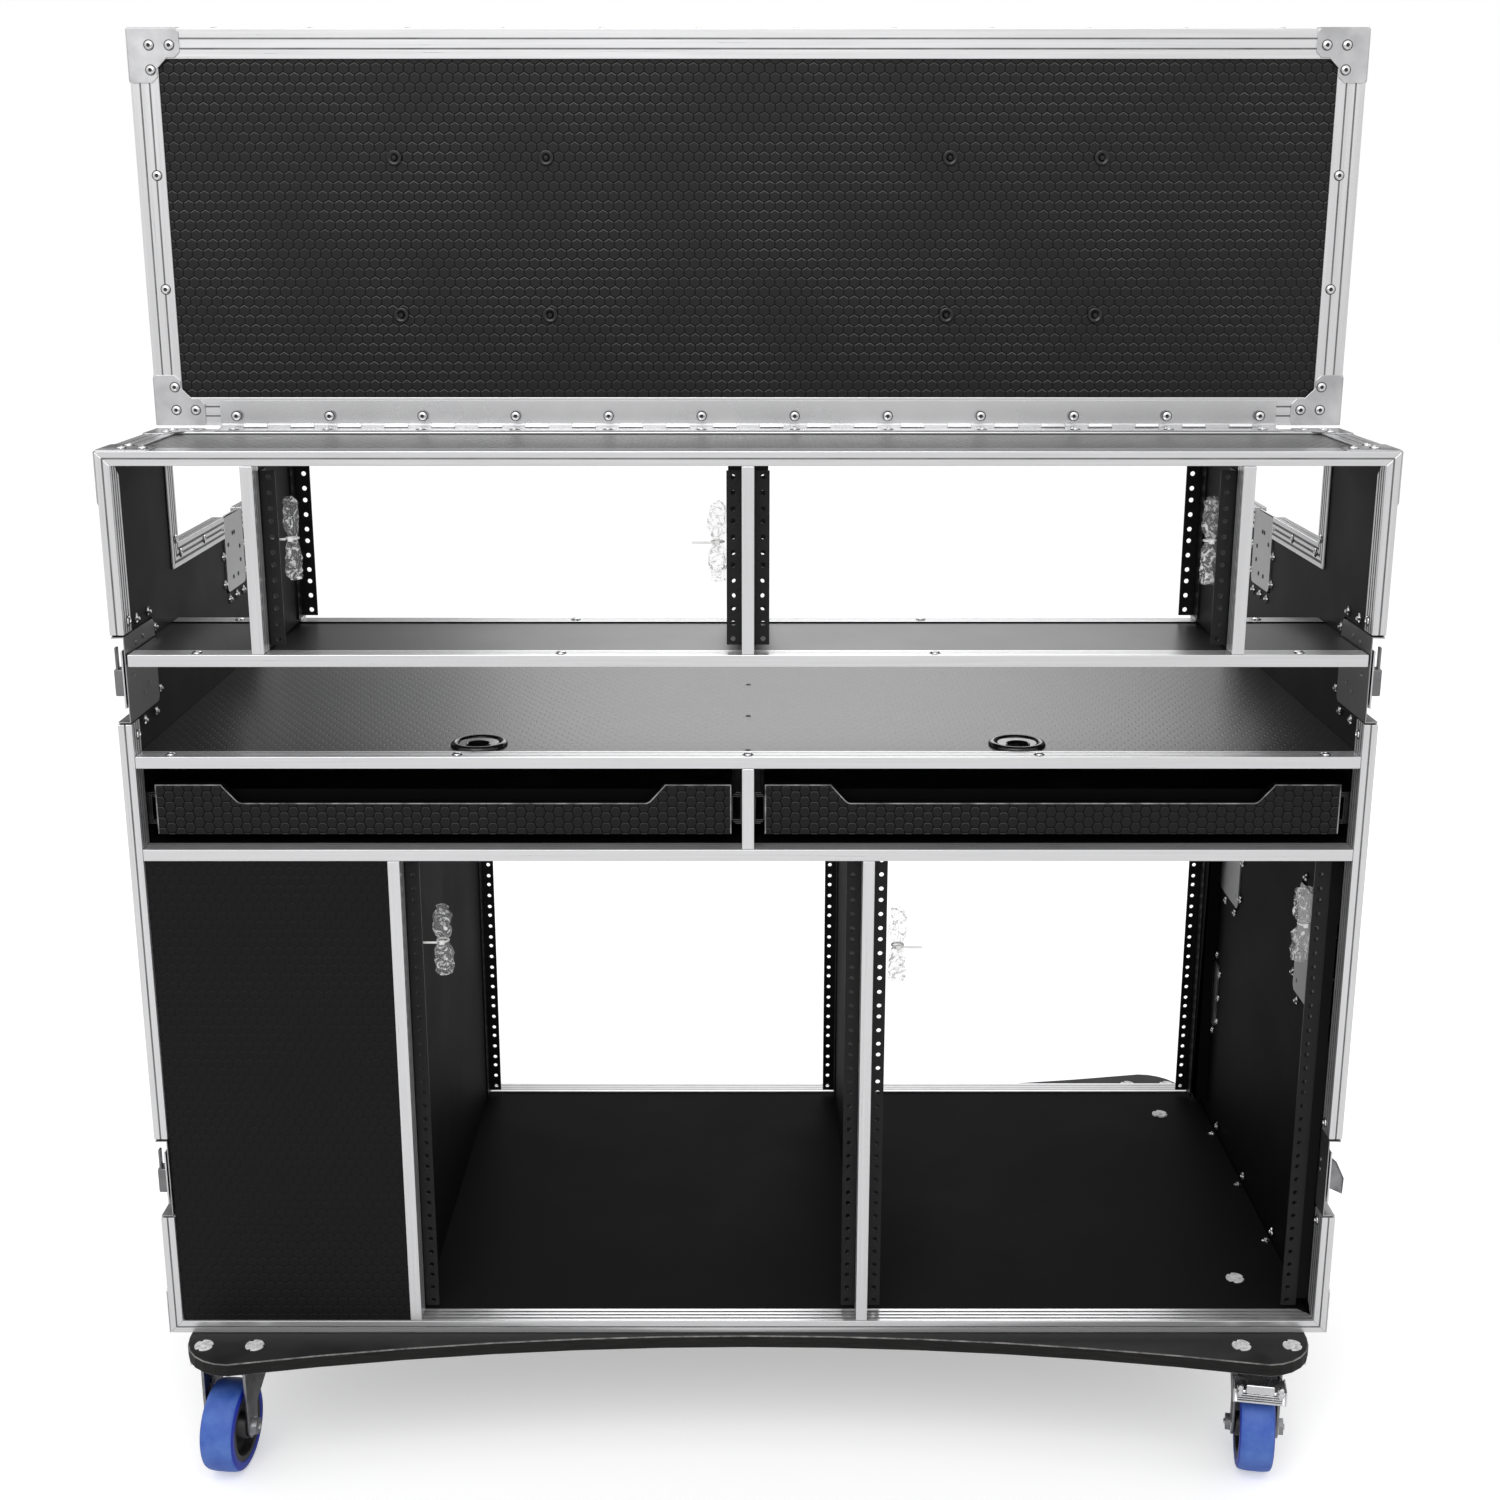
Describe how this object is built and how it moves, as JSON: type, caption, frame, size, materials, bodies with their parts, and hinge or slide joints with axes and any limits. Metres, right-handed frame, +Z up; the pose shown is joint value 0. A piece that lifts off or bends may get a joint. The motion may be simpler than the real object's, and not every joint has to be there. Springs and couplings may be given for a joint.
{
  "type": "dual bay video production case",
  "caption": "Wheeled flight case with upper and lower rack bays side by side, a desk shelf, drawers and a lid standing open.",
  "frame": {"origin": "on the floor, below the centre of the case", "axes": "+X to the right of someone facing the open front, +Y from the front to the back, +Z up"},
  "size_m": [1.288, 0.7688, 1.5396],
  "materials": {
    "laminate_black": "black laminate on plywood, satin",
    "ply_black": "black painted plywood",
    "divider_black": "black plywood with aluminium caps and black steel rack rails",
    "aluminium": "natural extruded aluminium edging",
    "zinc": "bright zinc plate",
    "fork_steel": "dark plated pressed steel",
    "tyre_blue": "blue elastic rubber",
    "core_black": "black nylon",
    "grommet_black": "glossy black plastic",
    "grip_black": "black rubber-covered steel bail",
    "board_black": "black painted plywood"
  },
  "bodies": {
    "case": {"side_panel_left": "laminate_black", "side_panel_right": "laminate_black", "top_panel": "laminate_black", "base_panel": "ply_black", "rack_shelf": "laminate_black", "desk_panel": "laminate_black", "drawer_deck": "laminate_black", "storage_front_panel": "laminate_black", "upper_divider_left": "divider_black", "upper_divider_centre": "divider_black", "upper_divider_right": "divider_black", "lower_divider_left": "divider_black", "lower_divider_right": "divider_black", "wall_spacer_front": "divider_black", "wall_spacer_rear": "divider_black", "drawer_divider": "ply_black", "upper_edging": "aluminium", "lower_edging": "aluminium", "caster_board": "board_black", "hinge_lower_leaf": "zinc", "grommet_left": "grommet_black", "grommet_right": "grommet_black"},
    "lid": {"lid_panel": "laminate_black", "lid_walls": "laminate_black", "lid_edging": "aluminium", "hinge_upper_leaf": "zinc"},
    "drawer_left": {"drawer_left": "laminate_black"},
    "slides_left": {"slide_left_inner": "zinc", "slide_left_outer": "zinc"},
    "drawer_right": {"drawer_right": "laminate_black"},
    "slides_right": {"slide_right_inner": "zinc", "slide_right_outer": "zinc"},
    "fork_front_left": {"fork_front_left": "fork_steel"},
    "wheel_front_left": {"wheel_core_front_left": "core_black", "tyre_front_left": "tyre_blue"},
    "fork_front_right": {"fork_front_right": "fork_steel"},
    "wheel_front_right": {"wheel_core_front_right": "core_black", "tyre_front_right": "tyre_blue"},
    "pedal_front_right": {"brake_pedal_front_right": "zinc"},
    "fork_rear_right": {"fork_rear_right": "fork_steel"},
    "wheel_rear_right": {"wheel_core_rear_right": "core_black", "tyre_rear_right": "tyre_blue"},
    "fork_rear_left": {"fork_rear_left": "fork_steel"},
    "wheel_rear_left": {"wheel_core_rear_left": "core_black", "tyre_rear_left": "tyre_blue"},
    "pedal_rear_left": {"brake_pedal_rear_left": "zinc"},
    "handle_front_left": {"handle_front_left": "grip_black"},
    "latch_front_left_upper": {"latch_front_left_upper": "zinc"},
    "latch_front_left_lower": {"latch_front_left_lower": "zinc"},
    "handle_rear_left": {"handle_rear_left": "grip_black"},
    "latch_rear_left_upper": {"latch_rear_left_upper": "zinc"},
    "latch_rear_left_lower": {"latch_rear_left_lower": "zinc"},
    "latch_lid_left": {"latch_lid_left": "zinc"},
    "handle_front_right": {"handle_front_right": "grip_black"},
    "latch_front_right_upper": {"latch_front_right_upper": "zinc"},
    "latch_front_right_lower": {"latch_front_right_lower": "zinc"},
    "handle_rear_right": {"handle_rear_right": "grip_black"},
    "latch_rear_right_upper": {"latch_rear_right_upper": "zinc"},
    "latch_rear_right_lower": {"latch_rear_right_lower": "zinc"},
    "latch_lid_right": {"latch_lid_right": "zinc"}
  },
  "joints": [
    {"name": "lid_hinge", "type": "hinge", "parent": "case", "child": "lid", "pos_m": [0, -0.098, 1.1316], "axis": [1, 0, 0], "range_deg": [-90, 0]},
    {"name": "drawer_left_slide", "type": "slide", "parent": "case", "child": "drawer_left", "axis": [0, -1, 0], "range_m": [0, 0.4]},
    {"name": "slides_left_slide", "type": "slide", "parent": "case", "child": "slides_left", "axis": [0, -1, 0], "range_m": [0, 0.2]},
    {"name": "drawer_right_slide", "type": "slide", "parent": "case", "child": "drawer_right", "axis": [0, -1, 0], "range_m": [0, 0.4]},
    {"name": "slides_right_slide", "type": "slide", "parent": "case", "child": "slides_right", "axis": [0, -1, 0], "range_m": [0, 0.2]},
    {"name": "swivel_front_left", "type": "hinge", "parent": "case", "child": "fork_front_left", "pos_m": [-0.572, -0.294, 0.13], "axis": [0, 0, 1], "continuous": true},
    {"name": "wheel_front_left_spin", "type": "hinge", "parent": "fork_front_left", "child": "wheel_front_left", "pos_m": [-0.57687, -0.3337, 0.05], "axis": [0.9925, -0.1219, 0], "continuous": true},
    {"name": "swivel_front_right", "type": "hinge", "parent": "case", "child": "fork_front_right", "pos_m": [0.572, -0.294, 0.13], "axis": [0, 0, 1], "continuous": true},
    {"name": "wheel_front_right_spin", "type": "hinge", "parent": "fork_front_right", "child": "wheel_front_right", "pos_m": [0.56505, -0.33339, 0.05], "axis": [0.9848, -0.1736, 0], "continuous": true},
    {"name": "pedal_front_right", "type": "hinge", "parent": "fork_front_right", "child": "pedal_front_right", "pos_m": [0.5661, -0.32748, 0.108], "axis": [0.9848, -0.1736, 0], "range_deg": [-8, 0]},
    {"name": "swivel_rear_right", "type": "hinge", "parent": "case", "child": "fork_rear_right", "pos_m": [0.572, 0.294, 0.13], "axis": [0, 0, 1], "continuous": true},
    {"name": "wheel_rear_right_spin", "type": "hinge", "parent": "fork_rear_right", "child": "wheel_rear_right", "pos_m": [0.57687, 0.3337, 0.05], "axis": [-0.9925, 0.1219, 0], "continuous": true},
    {"name": "swivel_rear_left", "type": "hinge", "parent": "case", "child": "fork_rear_left", "pos_m": [-0.572, 0.294, 0.13], "axis": [0, 0, 1], "continuous": true},
    {"name": "wheel_rear_left_spin", "type": "hinge", "parent": "fork_rear_left", "child": "wheel_rear_left", "pos_m": [-0.56505, 0.33339, 0.05], "axis": [-0.9848, 0.1736, 0], "continuous": true},
    {"name": "pedal_rear_left", "type": "hinge", "parent": "fork_rear_left", "child": "pedal_rear_left", "pos_m": [-0.5661, 0.32748, 0.108], "axis": [-0.9848, 0.1736, 0], "range_deg": [-8, 0]},
    {"name": "handle_front_left_hinge", "type": "hinge", "parent": "case", "child": "handle_front_left", "pos_m": [-0.6372, -0.196, 0.5933], "axis": [0, 1, 0], "range_deg": [0, 90], "stiffness_Nm_per_rad": 0.3},
    {"name": "latch_front_left_upper_turn", "type": "hinge", "parent": "case", "child": "latch_front_left_upper", "pos_m": [-0.644, -0.266, 0.8968], "axis": [-1, 0, 0], "range_deg": [0, 180]},
    {"name": "latch_front_left_lower_turn", "type": "hinge", "parent": "case", "child": "latch_front_left_lower", "pos_m": [-0.644, -0.266, 0.3393], "axis": [-1, 0, 0], "range_deg": [0, 180]},
    {"name": "handle_rear_left_hinge", "type": "hinge", "parent": "case", "child": "handle_rear_left", "pos_m": [-0.6372, 0.196, 0.5933], "axis": [0, 1, 0], "range_deg": [0, 90], "stiffness_Nm_per_rad": 0.3},
    {"name": "latch_rear_left_upper_turn", "type": "hinge", "parent": "case", "child": "latch_rear_left_upper", "pos_m": [-0.644, 0.266, 0.8968], "axis": [-1, 0, 0], "range_deg": [0, 180]},
    {"name": "latch_rear_left_lower_turn", "type": "hinge", "parent": "case", "child": "latch_rear_left_lower", "pos_m": [-0.644, 0.266, 0.3393], "axis": [-1, 0, 0], "range_deg": [0, 180]},
    {"name": "latch_lid_left_turn", "type": "hinge", "parent": "case", "child": "latch_lid_left", "pos_m": [-0.644, 0.134, 0.9573], "axis": [-1, 0, 0], "range_deg": [0, 180]},
    {"name": "handle_front_right_hinge", "type": "hinge", "parent": "case", "child": "handle_front_right", "pos_m": [0.6372, -0.196, 0.5933], "axis": [0, -1, 0], "range_deg": [0, 90], "stiffness_Nm_per_rad": 0.3},
    {"name": "latch_front_right_upper_turn", "type": "hinge", "parent": "case", "child": "latch_front_right_upper", "pos_m": [0.644, -0.266, 0.8968], "axis": [1, 0, 0], "range_deg": [0, 180]},
    {"name": "latch_front_right_lower_turn", "type": "hinge", "parent": "case", "child": "latch_front_right_lower", "pos_m": [0.644, -0.266, 0.3393], "axis": [1, 0, 0], "range_deg": [0, 180]},
    {"name": "handle_rear_right_hinge", "type": "hinge", "parent": "case", "child": "handle_rear_right", "pos_m": [0.6372, 0.196, 0.5933], "axis": [0, -1, 0], "range_deg": [0, 90], "stiffness_Nm_per_rad": 0.3},
    {"name": "latch_rear_right_upper_turn", "type": "hinge", "parent": "case", "child": "latch_rear_right_upper", "pos_m": [0.644, 0.266, 0.8968], "axis": [1, 0, 0], "range_deg": [0, 180]},
    {"name": "latch_rear_right_lower_turn", "type": "hinge", "parent": "case", "child": "latch_rear_right_lower", "pos_m": [0.644, 0.266, 0.3393], "axis": [1, 0, 0], "range_deg": [0, 180]},
    {"name": "latch_lid_right_turn", "type": "hinge", "parent": "case", "child": "latch_lid_right", "pos_m": [0.644, 0.134, 0.9573], "axis": [1, 0, 0], "range_deg": [0, 180]}
  ],
  "couplings": [
    {"joint": "slides_left_slide", "follows": "drawer_left_slide", "ratio": 0.5},
    {"joint": "slides_right_slide", "follows": "drawer_right_slide", "ratio": 0.5}
  ]
}
